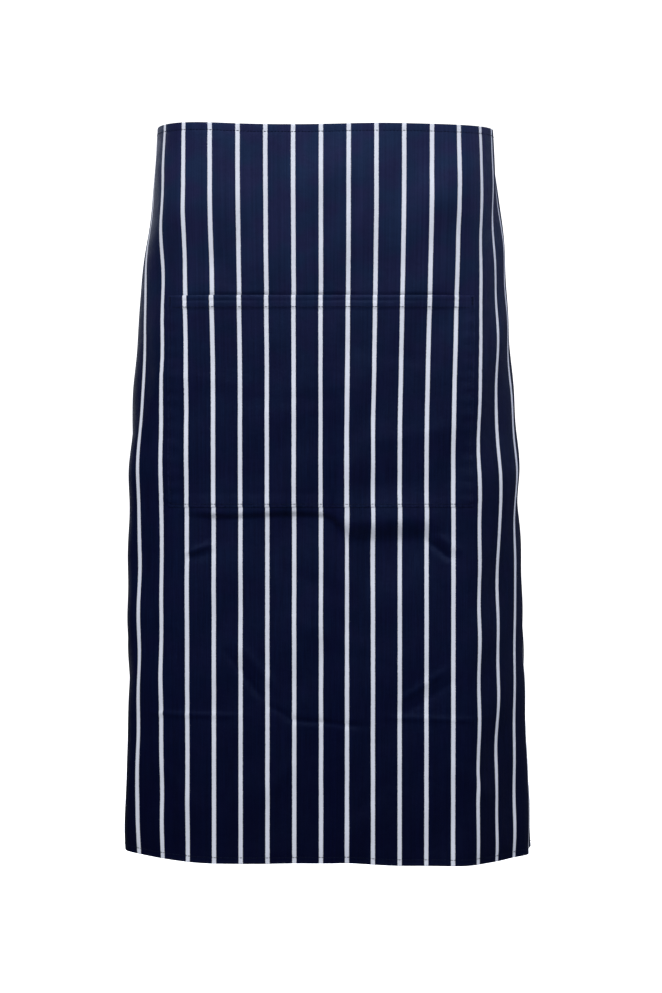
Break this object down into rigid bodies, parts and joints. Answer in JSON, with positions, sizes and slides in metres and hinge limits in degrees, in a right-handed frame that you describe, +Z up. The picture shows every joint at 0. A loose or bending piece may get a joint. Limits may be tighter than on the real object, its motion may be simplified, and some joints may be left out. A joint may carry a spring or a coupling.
{
  "type": "butcher apron",
  "caption": "Long wrap-round waist apron in navy and white striped cotton, with a wide patch pocket and cloth ties knotted in a bow at the back.",
  "frame": {"origin": "middle of the wearer's waist, at the height of the apron's top edge", "axes": "+Z up along the wearer, -Y out of the apron's front, +X to the right of someone who looks at the front"},
  "size_m": [0.3915, 0.236, 0.6996],
  "materials": {
    "striped_cloth": "dull navy cotton twill with narrow white woven stripes",
    "tie_cloth": "dull plain navy cotton twill",
    "sewing_thread": "navy spun thread with a slight sheen",
    "label_cloth": "white woven tape, blank"
  },
  "bodies": {
    "apron": {"apron_panel": "striped_cloth", "waist_hem": "striped_cloth", "bottom_hem": "striped_cloth", "side_hem_left": "striped_cloth", "side_hem_right": "striped_cloth", "pocket_panel": "striped_cloth", "pocket_hem": "striped_cloth", "waist_stitching": "sewing_thread", "bottom_stitching": "sewing_thread", "side_stitching_left": "sewing_thread", "side_stitching_right": "sewing_thread", "pocket_mouth_stitching": "sewing_thread", "pocket_seam_stitching": "sewing_thread", "pocket_bar_tacks": "sewing_thread", "waist_tie_left": "tie_cloth", "waist_tie_right": "tie_cloth", "tie_box_stitching_left": "sewing_thread", "tie_box_stitching_right": "sewing_thread", "bow_knot": "tie_cloth", "bow_loop_left": "tie_cloth", "bow_loop_right": "tie_cloth", "care_label": "label_cloth", "care_label_stitching": "sewing_thread"},
    "left_tail": {"tie_tail_left": "tie_cloth", "tail_end_stitching_left": "sewing_thread"},
    "right_tail": {"tie_tail_right": "tie_cloth", "tail_end_stitching_right": "sewing_thread"}
  },
  "joints": [
    {"name": "left_tail_swing", "type": "hinge", "parent": "apron", "child": "left_tail", "pos_m": [-0.0011, 0.0954, -0.0385], "axis": [1, 0, 0], "range_deg": [0, 60]},
    {"name": "right_tail_swing", "type": "hinge", "parent": "apron", "child": "right_tail", "pos_m": [0.0149, 0.0954, -0.0385], "axis": [1, 0, 0], "range_deg": [0, 60]}
  ]
}
